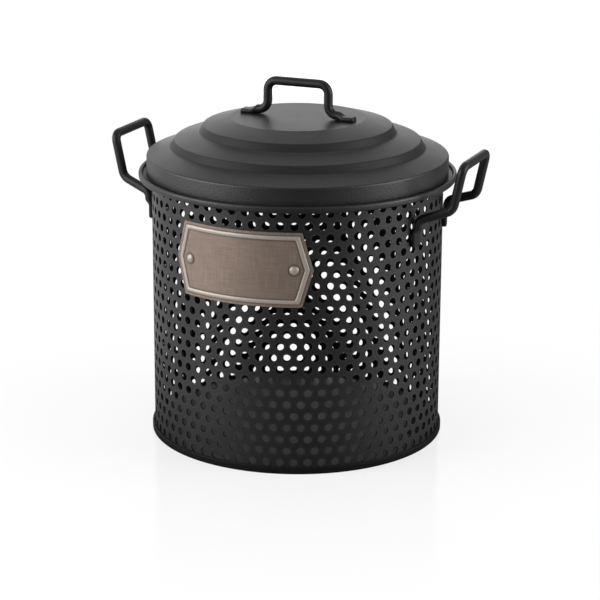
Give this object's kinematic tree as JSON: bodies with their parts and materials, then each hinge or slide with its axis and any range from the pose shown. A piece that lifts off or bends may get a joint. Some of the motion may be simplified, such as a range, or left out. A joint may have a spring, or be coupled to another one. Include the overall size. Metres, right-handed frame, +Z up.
{
  "type": "perforated storage tin with lid",
  "caption": "Round perforated steel storage tin with a stepped lift-off lid, bent-bar handles on the lid and sides, and a riveted six-sided label plaque.",
  "frame": {"origin": "on the table under the middle of the tin", "axes": "+Z up along the tin's axis, plaque facing -Y, side handles on the X axis"},
  "size_m": [0.2772, 0.232, 0.264],
  "materials": {
    "black_coat": "satin black powder coat with a fine grain",
    "plaque_metal": "antique warm grey, cross-brushed, with worn raised edges"
  },
  "bodies": {
    "tin": {"perforated_wall": "black_coat", "base_pan": "black_coat", "rim_collar": "black_coat", "side_handle_right": "black_coat", "side_handle_left": "black_coat", "label_plaque": "plaque_metal", "rivet_left": "plaque_metal", "rivet_right": "plaque_metal"},
    "lid": {"lid_shell": "black_coat", "lid_handle": "black_coat"}
  },
  "joints": [
    {"name": "lid_lift", "type": "slide", "parent": "tin", "child": "lid", "axis": [0, 0, 1], "range_m": [0, 0.08]}
  ]
}
